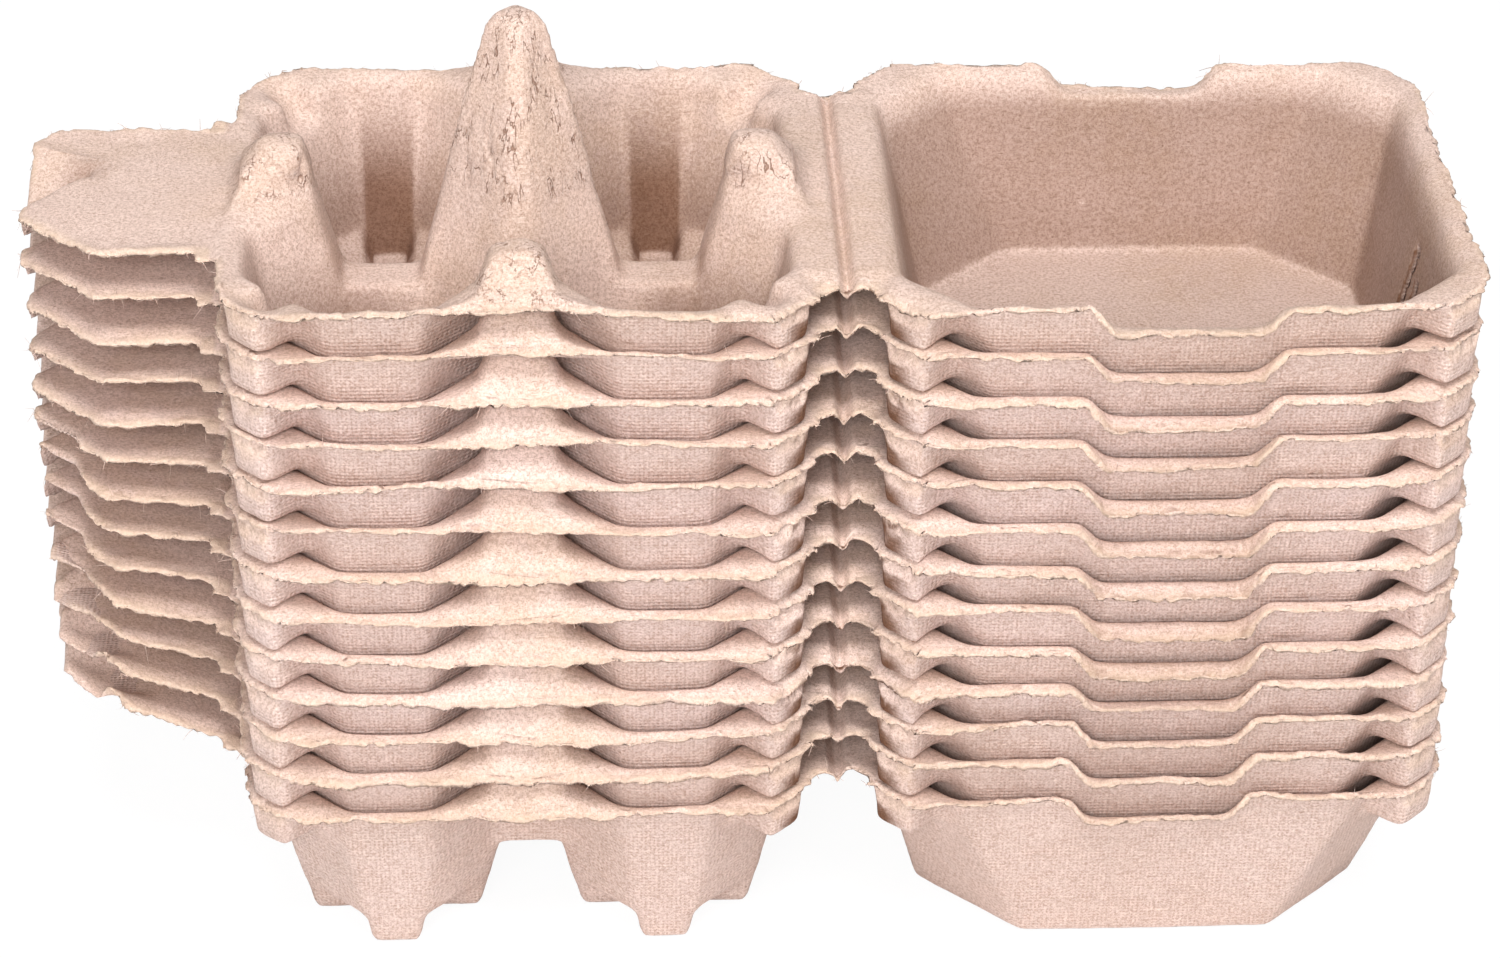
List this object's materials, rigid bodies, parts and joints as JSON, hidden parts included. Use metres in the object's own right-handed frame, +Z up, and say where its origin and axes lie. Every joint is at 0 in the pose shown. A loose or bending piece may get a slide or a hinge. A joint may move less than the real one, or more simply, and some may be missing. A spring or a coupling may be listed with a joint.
{
  "type": "stack of egg cartons",
  "caption": "Stack of nested moulded pulp egg cartons, lying open: egg tray with a centre cone, hinged lid and a locking flap at the side.",
  "frame": {"origin": "centre of the stack's footprint, on the surface that it stands on", "axes": "+X from the locking flaps to the lids, +Y to the back, +Z up"},
  "size_m": [0.2519, 0.098, 0.1681],
  "materials": {
    "pulp": "matte",
    "pulp_inner": "matte"
  },
  "bodies": {
    "stack": {"carton_01": "pulp", "carton_02": "pulp", "carton_03": "pulp", "carton_04": "pulp", "carton_05": "pulp", "carton_06": "pulp", "carton_07": "pulp", "carton_08": "pulp", "carton_09": "pulp", "carton_10": "pulp", "carton_11": "pulp", "carton_12": "pulp", "carton_13": "pulp_inner"},
    "locking_flap": {"locking_flap": "pulp_inner"}
  },
  "joints": [
    {"name": "locking_flap_fold", "type": "hinge", "parent": "stack", "child": "locking_flap", "pos_m": [-0.09075, 0, 0.1346], "axis": [0, 1, 0], "range_deg": [0, 95]}
  ]
}
